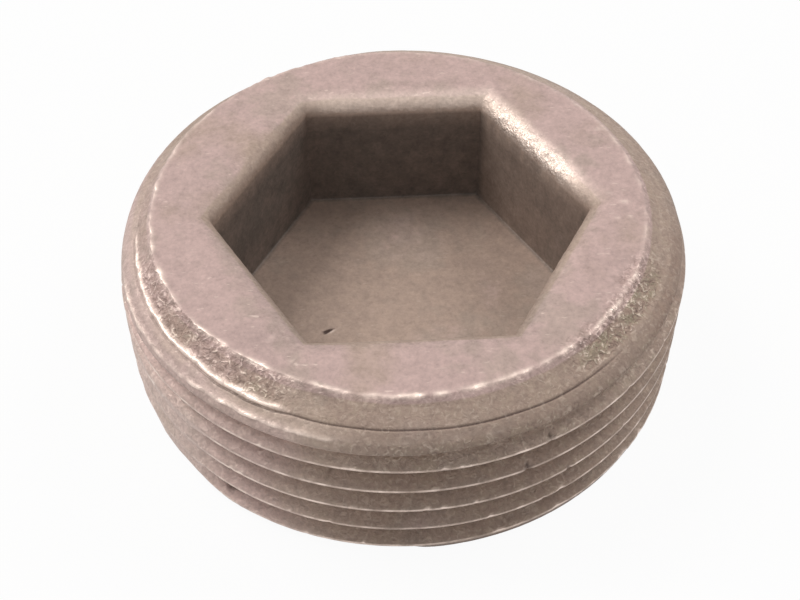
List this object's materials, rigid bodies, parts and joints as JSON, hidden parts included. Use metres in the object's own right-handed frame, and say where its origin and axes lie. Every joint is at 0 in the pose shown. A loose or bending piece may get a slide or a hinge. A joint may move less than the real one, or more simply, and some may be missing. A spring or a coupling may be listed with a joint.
{
  "type": "hex socket pipe plug",
  "caption": "Short threaded cylinder head plug with a tapered pipe thread, a sloping shoulder and a deep hexagon key socket in its flat top.",
  "frame": {"origin": "middle of the flat underside, on the thread's axis", "axes": "+Z along the thread's axis, from the small end up to the socket; two corners of the hexagon socket lie on the X axis"},
  "size_m": [0.042, 0.042, 0.0136],
  "materials": {
    "steel": "matt grey-brown steel with a phosphate-like bloom, worn bright on the thread crests"
  },
  "bodies": {
    "root": {"plug": "steel"}
  },
  "joints": []
}
